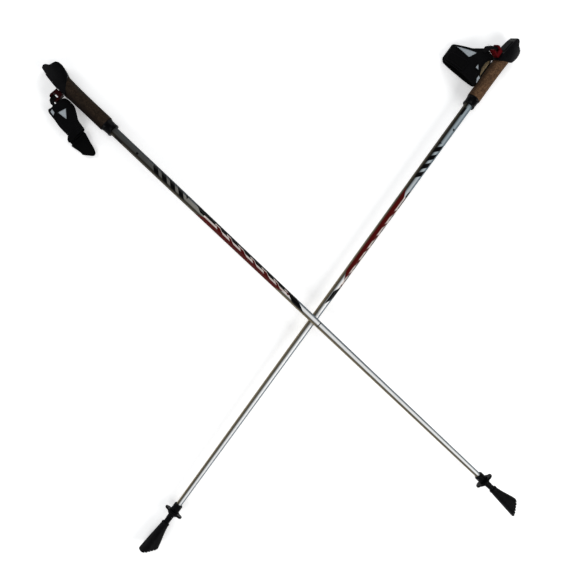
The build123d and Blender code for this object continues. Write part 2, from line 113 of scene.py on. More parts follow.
class Shader:
    """A Principled material built from nodes, for one piece or one family of pieces."""

    def __init__(self, name, roughness=0.5, metallic=0.0, **uniform):
        self.material = bpy.data.materials.new(name)
        self.material.use_nodes = True
        self.tree = self.material.node_tree
        self.tree.nodes.clear()
        self.bsdf = self.node("ShaderNodeBsdfPrincipled")
        output = self.node("ShaderNodeOutputMaterial")
        self.tree.links.new(self.bsdf.outputs["BSDF"], output.inputs["Surface"])
        self.bsdf.inputs["Roughness"].default_value = roughness
        self.bsdf.inputs["Metallic"].default_value = metallic
        for label, value in uniform.items():
            self.bsdf.inputs[label.replace("_", " ")].default_value = value

    def node(self, kind, **settings):
        made = self.tree.nodes.new(kind)
        for key, value in settings.items():
            setattr(made, key, value)
        return made

    def plug(self, socket, value):
        if isinstance(value, Value):
            self.tree.links.new(value.socket, socket)
        elif hasattr(value, "__len__") and len(value) == 3 and socket.type == "RGBA":
            socket.default_value = (*value, 1.0)
        else:
            socket.default_value = value

    def math(self, operation, a, b=0.0, clamp=False):
        made = self.node("ShaderNodeMath", operation=operation, use_clamp=clamp)
        for socket, value in zip(made.inputs, (a, b)):
            self.plug(socket, value)
        return Value(self, made.outputs[0])

    def in_mm(self, socket):
        """A place that a socket gives in metres, in millimetres."""
        scaled = self.node("ShaderNodeVectorMath", operation="SCALE")
        self.tree.links.new(socket, scaled.inputs[0])
        scaled.inputs["Scale"].default_value = 1 / MM
        return Value(self, scaled.outputs[0])

    def point(self, matrix=None):
        """The surface point at rest, in a frame's own millimetres."""
        place = self.node("ShaderNodeTexCoord").outputs["Object"]
        inverse = (matrix or Matrix.Identity(4)).inverted()
        turned = self.node("ShaderNodeMapping")
        self.tree.links.new(place, turned.inputs["Vector"])
        turned.inputs["Rotation"].default_value = inverse.to_euler("XYZ")
        turned.inputs["Location"].default_value = inverse.translation
        return self.in_mm(turned.outputs[0])

    def flat_point(self):
        """The piece's own flat pattern, in millimetres, as sewn pieces keep it in their UV map."""
        return self.in_mm(self.node("ShaderNodeUVMap", uv_map="pattern").outputs[0])

    def split(self, vector):
        made = self.node("ShaderNodeSeparateXYZ")
        self.plug(made.inputs[0], vector)
        return [Value(self, out) for out in made.outputs]

    def join(self, x, y, z=0.0):
        made = self.node("ShaderNodeCombineXYZ")
        for socket, value in zip(made.inputs, (x, y, z)):
            self.plug(socket, value)
        return Value(self, made.outputs[0])

    def noise(self, vector, scale, detail=3.0, roughness=0.55):
        made = self.node("ShaderNodeTexNoise")
        self.plug(made.inputs["Vector"], vector)
        made.inputs["Scale"].default_value = scale
        made.inputs["Detail"].default_value = detail
        made.inputs["Roughness"].default_value = roughness
        return Value(self, made.outputs[0])

    def cells(self, vector, scale, output="Distance"):
        made = self.node("ShaderNodeTexVoronoi", feature="F1")
        self.plug(made.inputs["Vector"], vector)
        made.inputs["Scale"].default_value = scale
        return Value(self, made.outputs[output])

    def band(self, value, low, high, soft=0.08):
        """1 between low and high and 0 outside, with soft edges of that width."""
        rise = self.ease(value, low - soft, low + soft)
        fall = self.ease(value, high - soft, high + soft)
        return rise - fall

    def ease(self, value, start, end, low=0.0, high=1.0):
        made = self.node("ShaderNodeMapRange", interpolation_type="SMOOTHSTEP")
        self.plug(made.inputs["Value"], value)
        for label, number in (("From Min", start), ("From Max", end),
                              ("To Min", low), ("To Max", high)):
            self.plug(made.inputs[label], number)
        return Value(self, made.outputs["Result"])

    def mix(self, first, second, share):
        """A colour between two, from the sockets that a Mix node keeps for its RGBA type."""
        first_socket, second_socket, result = 6, 7, 2
        made = self.node("ShaderNodeMix", data_type="RGBA")
        self.plug(made.inputs["Factor"], share)
        self.plug(made.inputs[first_socket], first)
        self.plug(made.inputs[second_socket], second)
        return Value(self, made.outputs[result])

    def colour(self, value):
        self.plug(self.bsdf.inputs["Base Color"], value)

    def rough(self, value):
        self.plug(self.bsdf.inputs["Roughness"], value)

    def bump(self, height, distance, strength=1.0):
        """Raises the surface by a height, whose unit is distance in millimetres."""
        made = self.node("ShaderNodeBump")
        self.plug(made.inputs["Height"], height)
        made.inputs["Distance"].default_value = distance * MM
        made.inputs["Strength"].default_value = strength
        self.tree.links.new(made.outputs[0], self.bsdf.inputs["Normal"])


# The shaft's printing: spans down the pole in millimetres, and spans round it in degrees from
# the pole's own front. A lean is the millimetres down the pole for each degree round it.
BLACK_BAND, BLACK_ROUND, BLACK_LEAN = (362, 602), (-4, 66), 0.26
RED_BAND, RED_ROUND, RED_LEAN = (378, 566), (-76, 2), 0.30
TAIL, TAIL_ROUND = (578, 606), (-42, 66)
BLOCK_ROW, BLOCK_ROUND, BLOCK_START, BLOCK_PITCH = (396, 574), (-2, 30), 402, 56.0
LONG_BLOCK, SHORT_BLOCK = (0, 13), (30, 38)
BLOCK_SIDES = ((-0.3, 1.4), (11.6, 13.3), (28.8, 30.3), (37.5, 39.0))
PIPING_ROW = (372, 592)
BARS, BAR_ROUND, BAR_LEAN = (250, 331), (-34, 44), 0.16
BAR_START, BAR_PITCH, BAR_LENGTH = 253, 19.5, 12
DOT, DOT_ROUND = (214, 218), (-22, 6)
TICK, TICK_ROUND, TICK_LEAN = (163, 180), (20, 52), 0.1
RING = (649.2, 650.8)


def shaft_silver_painted_light(s, side, down, seen, cloud):
    """Silver lacquer with light and shade painted on: a painted highlight band on top, painted
    shade on the forward and rear edges and a painted tan reflection at the rear edge.

    The painted shade is heavier near the grip than further down, and much heavier on the upper
    pole; seen is the angle round the shaft from the side that faces up.
    """
    painted_highlight = s.mix((0.82, 0.84, 0.84), (0.98, 0.98, 0.97), cloud)
    # Painted light differs per pole: the lower pole gets a lit copy, the upper pole a shaded copy.
    if side == "lower":
        near = s.mix((0.27, 0.33, 0.36), (0.36, 0.42, 0.45), cloud)
        highlight_colour = s.mix(near, painted_highlight, s.ease(down, 190, 640))
        # Painted highlight: a lighter band on the side of the shaft that faces up.
        highlight_mask = s.ease(seen, 38, 18) * s.ease(seen, -26, 10)
        shaded_front = s.mix((0.115, 0.150, 0.175), (0.17, 0.20, 0.23), s.ease(down, 190, 700))
    else:
        near = s.mix((0.042, 0.043, 0.041), (0.058, 0.060, 0.057), cloud)
        highlight_colour = s.mix(near, (0.27, 0.26, 0.235), s.ease(down, 205, 400))
        highlight_colour = s.mix(highlight_colour, painted_highlight, s.ease(down, 330, 660))
        highlight_mask = s.ease(seen, 38, 12) * s.ease(seen, -30, -8)
        shaded_front = s.mix((0.036, 0.040, 0.043), (0.13, 0.155, 0.175), s.ease(down, 200, 680))
    # Painted shade on the front and rear edges, and a painted tan reflection beyond the rear edge,
    # all lighter further down.
    further = s.ease(down, 200, 700)
    rear = s.mix((0.018, 0.016, 0.012), (0.075, 0.066, 0.048), further)
    reflected_tan = s.mix((0.052, 0.046, 0.034), (0.20, 0.165, 0.105), further)
    silver = s.mix(shaded_front, rear, s.ease(seen, 6, -26))
    silver = s.mix(silver, reflected_tan, s.ease(seen, -40, -56))
    return s.mix(silver, highlight_colour, highlight_mask)


def shaft_blocks(s, down, slant, forward):
    """The stepped row of slanted blocks and the pale piping round it, as two masks."""
    step_at = (slant - BLOCK_START) % BLOCK_PITCH
    in_row = s.band(down, *BLOCK_ROW, 0.4)
    step = (s.band(step_at, *LONG_BLOCK, 0.3) + s.band(step_at, *SHORT_BLOCK, 0.3)) * in_row
    edge = s.band(forward, -12, 9, 1.2) * (1.0 - step) + s.band(forward, 24.5, 34.5, 0.8) * step
    first, *others = (s.band(step_at, *span, 0.2) for span in BLOCK_SIDES)
    for other in others:
        first = first + other
    sides = first * s.band(forward, 0, 31, 0.8) * in_row
    piping = (edge + sides).clamp() * s.band(down, *PIPING_ROW, 0.5)
    return step * s.band(forward, *BLOCK_ROUND, 1.0), piping


def shaft_marks(s, down, angle, forward, seen):
    """Plain slanted bars, a dot, a tick and a thin ring, as one mask."""
    bar = (down + forward * BAR_LEAN - BAR_START) % BAR_PITCH
    bars = s.band(bar, 0, BAR_LENGTH, 0.25) * s.band(down, *BARS, 0.3)
    bars = bars * s.band(seen, *BAR_ROUND, 1.0)
    dot = s.band(down, *DOT, 0.3) * s.band(forward, *DOT_ROUND, 1.5)
    tick = s.band(down + forward * TICK_LEAN, *TICK, 0.4) * s.band(angle, *TICK_ROUND, 2)
    return (bars + dot + tick + s.band(down, *RING, 0.15)).clamp()


def shaft_lacquer(side):
    """Glossy silver lacquer with painted highlight, shade and reflection, a stepped black and red
    band and small plain marks.
    """
    s = Shader(f"{side}_shaft_lacquer", roughness=0.3, Specular_IOR_Level=0.05,
               Coat_Weight=0.02, Coat_Roughness=0.15)
    x, y, z = s.split(s.point(POLE[side]))
    down = z * -1.0
    angle = s.math("ARCTAN2", y, x) * DEGREES
    forward = angle - 90.0
    seen = forward + ROLL[side]
    slant = down + forward * BLACK_LEAN

    black_band = s.band(slant, *BLACK_BAND, 0.4) * s.band(forward, *BLACK_ROUND, 1.2)
    red_band = s.band(down - forward * RED_LEAN, *RED_BAND, 0.4) * s.band(forward, *RED_ROUND, 1.2)
    tail = s.band(slant, *TAIL, 0.4) * s.band(forward, *TAIL_ROUND, 1.2)
    blocks, piping = shaft_blocks(s, down, slant, forward)
    marks = shaft_marks(s, down, angle, forward, seen)

    black, red, white = (0.0018, 0.0018, 0.002), (0.088, 0.005, 0.0035), (0.70, 0.62, 0.58)
    # Silver lacquer with its painted highlight, painted shade and painted reflection.
    colour = shaft_silver_painted_light(s, side, down, seen, s.noise(s.join(x, y, z * 0.05), 0.6))
    for paint, mask in ((red, red_band), (black, black_band), (red, blocks), (white, piping),
                        (black, tail)):
        colour = s.mix(colour, paint, mask)
    shades = s.noise(s.join(x, y, z * 0.1), 0.35, detail=4.0)
    colour = s.mix(colour, (0.018, 0.003, 0.003), (blocks + red_band).clamp() * shades * 0.5)
    s.colour(s.mix(colour, black, marks))

    printed = (red_band + black_band + blocks + piping + tail + marks).clamp()
    s.plug(s.bsdf.inputs["Metallic"], s.ease(printed, 0, 1, 0.12, 0.0))
    scratches = s.noise(s.join(x * 3.0, y * 3.0, z * 0.15), 1.6, detail=5.0)
    s.rough(s.ease(scratches, 0.35, 0.75, 0.30, 0.46))
    s.bump(printed * 0.6 + scratches * 0.2, 0.02, 0.5)
    return s.material


# Cork colours: dark granules, light granules, specks that also serve as painted shade, pale flecks
# and grime. The upper pole's set is the same cork in painted shade.
CORK_LIT_AND_SHADED = {
    "lower": ((0.044, 0.022, 0.012), (0.150, 0.082, 0.042), (0.014, 0.008, 0.005),
              (0.21, 0.125, 0.068), (0.030, 0.016, 0.010)),
    "upper": ((0.009, 0.006, 0.004), (0.030, 0.019, 0.012), (0.003, 0.002, 0.002),
              (0.055, 0.038, 0.025), (0.008, 0.006, 0.004)),
}


def cork(side):
    """Pressed cork granules with dark specks, long pores and patches of grime, and painted shade
    towards the rear side.
    """
    s = Shader(f"{side}_cork", roughness=0.78, Specular_IOR_Level=0.06)
    dark, light, speck_and_shade, fleck, grime = CORK_LIT_AND_SHADED[side]
    place = s.point(POLE[side])
    x, y, z = s.split(place)
    warped = s.noise(place, 0.5, detail=2.0) * 1.5
    place = s.join(x + warped, y + warped, z * 0.8)
    grain = s.cells(place, 0.55)
    tone = s.split(s.cells(place, 0.55, output="Color"))[0]
    colour = s.mix(dark, light, s.ease(tone, 0.0, 1.0, 0.25, 1.0))
    specks = s.ease(s.noise(place, 1.3, detail=2.0), 0.60, 0.70)
    colour = s.mix(colour, speck_and_shade, specks * 0.85)
    pale = s.ease(s.noise(place, 0.9, detail=1.0, roughness=0.3), 0.66, 0.74)
    colour = s.mix(colour, fleck, pale * 0.5)
    long_pores = s.ease(s.noise(s.join(x * 2.2, y * 2.2, z * 0.35), 0.9), 0.62, 0.72)
    colour = s.mix(colour, speck_and_shade, long_pores * 0.6)
    worn = s.ease(s.noise(s.join(x, y, z * 0.3), 0.08, detail=2.0), 0.35, 0.7)
    colour = s.mix(colour, grime, worn * 0.35)
    # Painted shade: the cork darkens towards its rear side, away from the side that faces up.
    seen = s.math("ARCTAN2", y, x) * DEGREES - 90.0 + ROLL[side]
    s.colour(s.mix(colour, speck_and_shade, s.ease(seen, -8, -58) * 0.7))
    s.rough(s.ease(worn, 0, 1, 0.84, 0.66))
    s.bump(s.ease(grain, 0.0, 0.9, 1.0, 0.3) - specks * 0.8 - long_pores * 0.5, 0.25, 0.9)
    return s.material


def moulded(name, side, colour, roughness=0.42, grain=0.05, mottle=0.35, worn=None):
    """Moulded plastic or rubber: fine grain, faint flow mottling and a few light scuffs."""
    s = Shader(f"{side}_{name}", roughness=roughness, Specular_IOR_Level=0.05)
    place = s.point(POLE[side])
    x, y, z = s.split(place)
    cloud = s.noise(place, 0.12, detail=3.0)
    lighter = tuple(min(1.0, c * (1 + 1.6 * mottle)) for c in colour)
    tone = s.mix(colour, lighter, s.ease(cloud, 0.35, 0.7))
    scuffs = s.ease(s.noise(s.join(x * 1.2, y * 1.2, z * 0.4), 0.9, detail=6.0), 0.66, 0.76)
    tone = s.mix(tone, worn or tuple(c * 2.4 + 0.003 for c in colour), scuffs * 0.4)
    s.colour(tone)
    s.rough(s.ease(cloud + scuffs * 0.3, 0.3, 0.9, roughness - 0.08, roughness + 0.10))
    fine = s.cells(place, 2.4)
    s.bump(fine + scuffs * 0.5, grain, 0.8)
    return s.material


def metal(name, side, colour, roughness=0.3):
    """Turned or drawn metal with fine lines round it and faint tarnish."""
    s = Shader(f"{side}_{name}", roughness=roughness, metallic=1.0)
    place = s.point(POLE[side])
    x, y, z = s.split(place)
    lines = s.noise(s.join(x * 0.3, y * 0.3, z * 6.0), 1.4, detail=4.0)
    stain = s.noise(place, 0.4, detail=3.0)
    s.colour(s.mix(tuple(c * 0.6 for c in colour), colour, s.ease(stain, 0.3, 0.6)))
    s.rough(s.ease(lines, 0.3, 0.7, roughness - 0.08, roughness + 0.14))
    s.bump(lines, 0.02, 0.6)
    return s.material


FAINT_SHEEN = 0.01


def knit(name, colour, pitch=0.9, ribs=0.5):
    """Warp-knit fabric: rows of small loops, a little fuzz and uneven dye."""
    s = Shader(name, roughness=0.85, Sheen_Weight=FAINT_SHEEN, Sheen_Roughness=0.45,
               Specular_IOR_Level=0.05)
    place = s.flat_point()
    u, v, _ = s.split(place)
    wave = s.math("SINE", u * (2 * math.pi / pitch))
    row = s.math("SINE", v * (2 * math.pi / (pitch * 0.8)) + wave * 0.9)
    rib = s.math("SINE", u * (math.pi / pitch))
    height = row * 0.5 + rib * ribs
    fuzz = s.noise(place, 2.2, detail=5.0, roughness=0.7)
    cloud = s.noise(place, 0.07, detail=3.0)
    darker = tuple(c * 0.55 for c in colour)
    lighter = tuple(min(1.0, c * 1.5) for c in colour)
    tone = s.mix(darker, colour, s.ease(height, -0.9, 0.8))
    tone = s.mix(tone, lighter, s.ease(fuzz, 0.55, 0.8) * 0.6)
    tone = s.mix(tone, lighter, s.ease(cloud, 0.4, 0.75) * 0.35)
    s.colour(tone)
    s.rough(s.ease(fuzz, 0.3, 0.8, 0.78, 0.92))
    s.bump(height + fuzz * 0.8, 0.12, 0.8)
    return s.material


def weave(name, colour, second=None, pitch=1.1, roughness=0.75):
    """Plain weave of flat yarns, over and under, with yarns of slightly different shade."""
    s = Shader(name, roughness=roughness, Sheen_Weight=FAINT_SHEEN, Sheen_Roughness=0.4,
               Specular_IOR_Level=0.06)
    place = s.flat_point()
    u, v, _ = s.split(place)
    across = s.math("SINE", u * (2 * math.pi / pitch))
    along = s.math("SINE", v * (2 * math.pi / pitch))
    over = across * along
    yarn = s.noise(s.join(u * 0.4, v * 2.0), 1.1, detail=2.0)
    fuzz = s.noise(place, 2.5, detail=4.0)
    second = second or tuple(c * 0.6 for c in colour)
    tone = s.mix(second, colour, s.ease(over, -0.8, 0.6))
    tone = s.mix(tone, tuple(c * 0.75 for c in colour), s.ease(yarn, 0.4, 0.7) * 0.5)
    s.colour(tone)
    s.rough(s.ease(fuzz, 0.3, 0.8, roughness - 0.08, roughness + 0.1))
    s.bump(over * 0.5 + fuzz * 0.4, 0.12, 0.8)
    return s.material


def suede(name, colour, sheen=FAINT_SHEEN, pile=1.0):
    """Brushed fabric: short pile lying in soft patches."""
    s = Shader(name, roughness=0.92, Sheen_Weight=sheen, Sheen_Roughness=0.5,
               Specular_IOR_Level=0.05)
    place = s.flat_point()
    nap = s.noise(place, 0.25, detail=4.0, roughness=0.6)
    hair = s.noise(place, 3.2, detail=5.0, roughness=0.7)
    tone = s.mix(tuple(c * 0.6 for c in colour), colour, s.ease(hair, 0.3, 0.65))
    tone = s.mix(tone, tuple(min(1.0, c * 1.45) for c in colour), s.ease(nap, 0.42, 0.7) * 0.6)
    s.colour(tone)
    s.rough(s.ease(nap, 0.3, 0.7, 0.86, 0.98))
    s.bump(hair * pile + nap * 0.6, 0.18, 0.8)
    return s.material


BLACK_PLASTIC, STEEL = (0.0018, 0.0018, 0.0022), (0.5, 0.5, 0.52)
# The clip's red as lit on the lower pole, and on the upper pole the same red in painted shade.
CLIP_RED_LIT_AND_SHADED = {"lower": (0.052, 0.002, 0.003), "upper": (0.010, 0.0008, 0.001)}

# CAD pieces of plastic and rubber: the material's name, its colour and what differs from plain.
MOULDED = {
    "flex_tip": ("tip_plastic", (0.0022, 0.0022, 0.0026), {}),
    "basket": ("basket_plastic", BLACK_PLASTIC, {}),
    "paw": ("paw_rubber", (0.0022, 0.0022, 0.0025),
            dict(roughness=0.55, grain=0.12, mottle=0.6, worn=(0.016, 0.014, 0.012))),
    "grip_core": ("core_plastic", (0.008, 0.008, 0.009), dict(roughness=0.5)),
    "grip_collar": ("collar_plastic", BLACK_PLASTIC, dict(roughness=0.34)),
    "head": ("head_plastic", BLACK_PLASTIC, dict(roughness=0.44, grain=0.07)),
    "head_pad": ("pad_rubber", (0.0028, 0.0028, 0.003), dict(roughness=0.6, grain=0.10)),
    "release_button": ("button_plastic", (0.006, 0.006, 0.007), dict(roughness=0.4)),
    "latch_plate": ("latch_plastic", (0.45, 0.45, 0.42), dict(roughness=0.45)),
}
# CAD pieces of metal: the material's name, its colour and roughness.
METALS = {
    "carbide_tip": ("carbide", (0.25, 0.25, 0.27), 0.35),
    "paw_washer": ("washer_steel", STEEL, 0.3),
    "latch_spring": ("spring_steel", STEEL, 0.3),
    "clip_pin": ("pin_steel", STEEL, 0.25),
}


def dress(node, material):
    """Gives a CAD node its material."""
    target = NODES[node]
    target.data.materials.clear()
    target.data.materials.append(material)


def dress_pole(side):
    """Materials of one pole's CAD pieces."""
    dress(f"{side}_shaft", shaft_lacquer(side))
    dress(f"{side}_cork_sleeve", cork(side))
    for part, (name, colour, finish) in MOULDED.items():
        dress(f"{side}_{part}", moulded(name, side, colour, **finish))
    # The clip's red, which on the upper pole is the same red in painted shade.
    red = CLIP_RED_LIT_AND_SHADED[side]
    dress(f"{side}_strap_clip", moulded("clip_plastic", side, red, roughness=0.3, grain=0.04,
                                        mottle=0.5, worn=tuple(2 * c for c in red)))
    for part, (name, colour, roughness) in METALS.items():
        dress(f"{side}_{part}", metal(name, side, colour, roughness))


def add_spring_squash(side):
    """Gives the latch spring its own copy of its mesh."""
    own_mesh(NODES[f"{side}_latch_spring"])


for side in SIDES:
    dress_pole(side)
    add_spring_squash(side)


# ---------------------------------------------------------------- glove straps

FABRIC = 1.6
RNG = random.Random(42)


def in_scene(side, x, y, down):
    """Points in the millimetres of a pole's lying frame, as points in the scene."""
    local = np.column_stack([x, y, -down, np.full(len(x), 1 / MM)]) * MM
    return (local @ np.array(LYING[side]).T)[:, :3]


class Loop:
    """A strap's loop beside its grip: an oval across the pole, run along the pole.

    Pieces are cut flat, as (round, down): the distance round the oval from its far fold
    and the distance down the pole, both in millimetres.
    """

    def __init__(self, side, centre, half, tilt, upper):
        self.side = side
        sign = 1 if upper else -1
        theta = np.linspace(0, math.pi, 721)
        along, rise = half[0] * np.cos(theta), sign * half[1] * np.sin(theta)
        turn = math.radians(tilt)
        self.x = centre[0] + along * math.cos(turn) - rise * math.sin(turn)
        self.y = centre[1] + along * math.sin(turn) + rise * math.cos(turn)
        out_x, out_y = np.cos(theta) / half[0], sign * np.sin(theta) / half[1]
        size = np.hypot(out_x, out_y)
        out_x, out_y = out_x / size, out_y / size
        self.out_x = out_x * math.cos(turn) - out_y * math.sin(turn)
        self.out_y = out_x * math.sin(turn) + out_y * math.cos(turn)
        step = np.hypot(np.diff(self.x), np.diff(self.y))
        self.round = np.concatenate([[0.0], np.cumsum(step)])
        self.from_far, self.to_near = int(self.x.argmax()), int(self.x.argmin())

    def cut(self, outline):
        """An outline seen from above, (x, down), as (round, down) on the oval."""
        part = slice(self.from_far, self.to_near + 1)
        x, round_at = self.x[part][::-1], self.round[part][::-1]
        return np.array([(np.interp(px, x, round_at), down) for px, down in outline])

    def place(self, flat, lift):
        """Points of the flat cut on the oval, raised off it by lift, in the scene."""
        at = flat[:, 0]
        x = np.interp(at, self.round, self.x) + lift * np.interp(at, self.round, self.out_x)
        y = np.interp(at, self.round, self.y) + lift * np.interp(at, self.round, self.out_y)
        x = x - NEAR_SHIFT[self.side] * np.clip((SHIFT_FROM - x) / SHIFT_OVER, 0, 1)
        return in_scene(self.side, x, y, flat[:, 1])


# A strap's near edge lies closer to the grip than its oval, and the shift fades out along x.
NEAR_SHIFT, SHIFT_FROM, SHIFT_OVER = {"lower": 3.6, "upper": 1.3}, 56, 38
OVALS = {
    "lower": dict(centre=(54.0, -5.2), half=(38.4, 9.0), tilt=-14.0),
    "upper": dict(centre=(38.4, -4.6), half=(22.2, 7.6), tilt=0.0),
}
BAND_OVAL = dict(centre=(50.0, -7.2), half=(20.5, 9.6), tilt=-5.0)

# Outlines seen from above, as (x, down): the far side, the near side under the grip and the
# thumb edge, then the lining, the light panels, the closing flap and its hook patch.
FAR = {
    "lower": [(39.5, 55.5), (57, 69.5), (91, 80), (93, 92), (92, 109), (85, 116), (50, 120),
              (17, 126)],
    "upper": [(38, 58.2), (46, 59), (50, 56.5), (53.5, 60), (56, 77), (59, 90), (59.5, 108),
              (59.5, 120)],
}
NEAR = {
    "lower": [(16.8, 108), (16.8, 90), (16.8, 70), (19, 62), (30, 60)],
    "upper": [(33, 120), (29, 100), (20.5, 88), (18.0, 70), (20, 61), (30, 59.5)],
}
THUMB = {
    "lower": [(16.9, 112), (22.5, 102), (26.6, 91), (27.2, 80), (24.5, 71), (18.5, 63.5), (21, 60),
              (29, 59.0), (32, 56.5)],
    "upper": [(33.5, 119.9), (34.5, 113), (28.5, 98), (20.5, 88), (17.2, 80), (16.6, 68),
              (18.5, 62), (31, 60.5)],
}
LINING = {
    "lower": [(39.5, 66), (57, 75), (87, 85), (87, 106), (50, 112), (17, 115),
              (17, 108), (17, 90), (17, 70), (20, 65)],
    "upper": [(38, 62), (48, 64), (52, 80), (55, 92), (55, 112), (38, 112), (33, 100),
              (25, 88), (22, 70), (25, 64)],
}
PANELS = {
    "lower": [[(46, 72), (85, 82), (53, 89)], [(27.5, 98), (35, 98), (34.5, 87)]],
    "upper": [[(28.5, 76.5), (44, 72), (42, 92)], [(45, 60.5), (51, 62), (53, 71.5), (46.5, 69)]],
}
TABS = {
    "lower": [(48, 97), (84, 97), (84, 114), (50, 118)],
    "upper": [(35, 122.7), (68.5, 122.7), (67.5, 129), (65, 143), (66.5, 147), (54, 162.5),
              (49, 161), (45, 153.5), (42, 143)],
}
PATCHES = {
    "lower": [(54, 100), (72, 100), (72, 112), (55, 114)],
    "upper": [(47, 136), (61, 136), (60, 146), (54, 155), (51, 155)],
}
# The upper strap's wrist hem and the tape under its flap, and the lower strap's light sliver.
WRIST_BAND = [(31.8, 118.5), (33.5, 113), (46, 109.5), (58, 109), (65.5, 113), (68, 117.5),
              (67, 120.6), (50, 120.8), (34, 120.8)]
HINGE_TAPE = [(34.5, 115), (65.5, 115), (66.5, 126.5), (36, 126.5)]
SLIVER = [(17.7, 119), (17.7, 107), (22.2, 103), (21.8, 112)]


class Flat:
    """A flat piece near the floor: a plane that slopes down along the pole."""

    def __init__(self, side, start, height, slope):
        self.side, self.start, self.height, self.slope = side, start, height, slope

    def cut(self, outline):
        return np.array(outline, float)

    def place(self, flat, lift):
        y = self.height - self.slope * (flat[:, 1] - self.start) + lift
        return in_scene(self.side, flat[:, 0], y, flat[:, 1])


def rounded(outline, radius, gap=0.8, closed=True):
    """An outline with its corners rounded to about a radius, as points a gap apart."""
    points = [np.array(p, float) for p in outline]
    count, out = len(points), []
    for i, point in enumerate(points):
        if not closed and i in (0, count - 1):
            out.append([point])
            continue
        before, after = points[i - 1], points[(i + 1) % count]
        reach = [min(radius, 0.45 * np.linalg.norm(q - point)) for q in (before, after)]
        start = point + (before - point) / max(np.linalg.norm(before - point), 1e-6) * reach[0]
        end = point + (after - point) / max(np.linalg.norm(after - point), 1e-6) * reach[1]
        bend = [(1 - t) ** 2 * start + 2 * t * (1 - t) * point + t * t * end
                for t in np.linspace(0, 1, 6)]
        out.append(bend)
    line = [p for bend in out for p in bend]
    if closed:
        line.append(line[0])
    line = np.array(line)
    reach = np.concatenate([[0.0], np.cumsum(np.linalg.norm(np.diff(line, axis=0), axis=1))])
    stops = np.linspace(0, reach[-1], max(8, int(reach[-1] / gap)))
    spaced = np.column_stack([np.interp(stops, reach, line[:, k]) for k in range(2)])
    return spaced[:-1] if closed else spaced


def filled(edge, gap):
    """Triangles that fill a closed edge evenly: (points, faces)."""
    low, high = edge.min(0), edge.max(0)
    inside = []
    for row, v in enumerate(np.arange(low[1] + gap / 2, high[1], gap * 0.87)):
        for u in np.arange(low[0] + (row % 2) * gap / 2, high[0], gap):
            inside.append((u, v))
    inside = np.array(inside)
    near = np.min(np.linalg.norm(inside[:, None] - edge[None], axis=2), axis=1)
    inside = inside[near > gap * 0.55]
    corners = [Vector(p) for p in np.vstack([edge, inside])]
    loop = [list(range(len(edge)))]
    points, _, faces, *_ = geometry.delaunay_2d_cdt(corners, [], loop, 1, 1e-5)
    return np.array([tuple(p) for p in points]), [list(face) for face in faces]


def folds_of(edge, count, height):
    """A few soft folds laid at random inside an edge, as a function of the flat point."""
    low, high = edge.min(0), edge.max(0)
    chosen = []
    for _ in range(count):
        middle = np.array([RNG.uniform(low[k], high[k]) for k in range(2)])
        angle = RNG.uniform(-0.9, 0.9)
        chosen.append((middle, np.array([math.cos(angle), math.sin(angle)]),
                       RNG.uniform(8, 22), RNG.uniform(1.8, 4.0), RNG.uniform(-1, 1) * height))

    def lift(flat):
        total = np.zeros(len(flat))
        for middle, way, length, width, size in chosen:
            along = (flat - middle) @ way
            across = (flat - middle) @ np.array([-way[1], way[0]])
            total += size * np.exp(-(along / length) ** 2 - (across / width) ** 2)
        return total

    return lift


def mesh_piece(name, points, faces, pattern):
    """A smooth mesh object from scene points, with its flat pattern kept in a UV map."""
    mesh = bpy.data.meshes.new(name)
    mesh.from_pydata([tuple(p) for p in points], [], faces)
    mesh.update()
    layer = mesh.uv_layers.new(name="pattern")
    for corner, loop in enumerate(mesh.loops):
        layer.data[corner].uv = [c * MM for c in pattern[loop.vertex_index]]
    mesh.polygons.foreach_set("use_smooth", [True] * len(mesh.polygons))
    piece = bpy.data.objects.new(name, mesh)
    bpy.context.scene.collection.objects.link(piece)
    return piece


def finish_piece(piece, material, body, replaced=()):
    """Gives a piece its material and body, and hides the CAD nodes it stands for."""
    piece.data.materials.append(material)
    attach(piece, body)
    if replaced:
        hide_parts(*replaced)


def thicken(piece, thickness, offset):
    """Gives a sheet its thickness: behind its face normals at -1, on both sides at 0."""
    solid = piece.modifiers.new("thickness", "SOLIDIFY")
    solid.thickness = thickness * MM
    solid.offset = offset
    solid.use_rim = True
    solid.use_even_offset = True
    return piece


# How a cut edge falls away, and the sewn channel beside it, in millimetres.
EDGE_DROP, EDGE_REACH = 0.45, 0.9
SEAM_DEPTH, SEAM_HALF_WIDTH = 0.45, 0.55
PUFF_REACH, FOLD_REACH = 5.0, 4.0


def sewn_patch(name, loop, outline, lift=0.0, thickness=FABRIC, corner=3.0, gap=1.1,
               folds=None, seam_at=None, puff=0.0):
    """A cut piece of fabric on a surface, with soft edges, folds and a sewn channel.

    Folds are (count, height), and the flat edge comes back with the piece.
    """
    edge = loop.cut(rounded(outline, corner))
    wrinkles = folds_of(edge, *folds) if folds else None
    flat, faces = filled(edge, gap)
    from_edge = np.min(np.linalg.norm(flat[:, None] - edge[None], axis=2), axis=1)
    raised = np.full(len(flat), lift) - EDGE_DROP * np.exp(-from_edge / EDGE_REACH)
    raised += puff * (1 - np.exp(-from_edge / PUFF_REACH))
    if wrinkles:
        raised += wrinkles(flat) * (1 - np.exp(-from_edge / FOLD_REACH))
    if seam_at:
        raised -= SEAM_DEPTH * np.exp(-((from_edge - seam_at) / SEAM_HALF_WIDTH) ** 2)
    points = loop.place(flat, raised)
    centre = loop.place(flat, raised - 1.0)
    first = faces[0]
    normal = np.cross(points[first[1]] - points[first[0]], points[first[2]] - points[first[0]])
    if normal @ (points[first[0]] - centre[first[0]]) < 0:
        faces = [face[::-1] for face in faces]
    return thicken(mesh_piece(name, points, faces, flat), thickness, offset=-1), edge


def sideways_along(points, normals):
    """Sideways directions of a line on a surface, square to the line and the normals."""
    tangent = np.vstack([points[1:], points[-1:]]) - np.vstack([points[:1], points[:-1]])
    tangent /= np.linalg.norm(tangent, axis=1)[:, None] + 1e-12
    sideways = np.cross(tangent, normals)
    return sideways / (np.linalg.norm(sideways, axis=1)[:, None] + 1e-12)


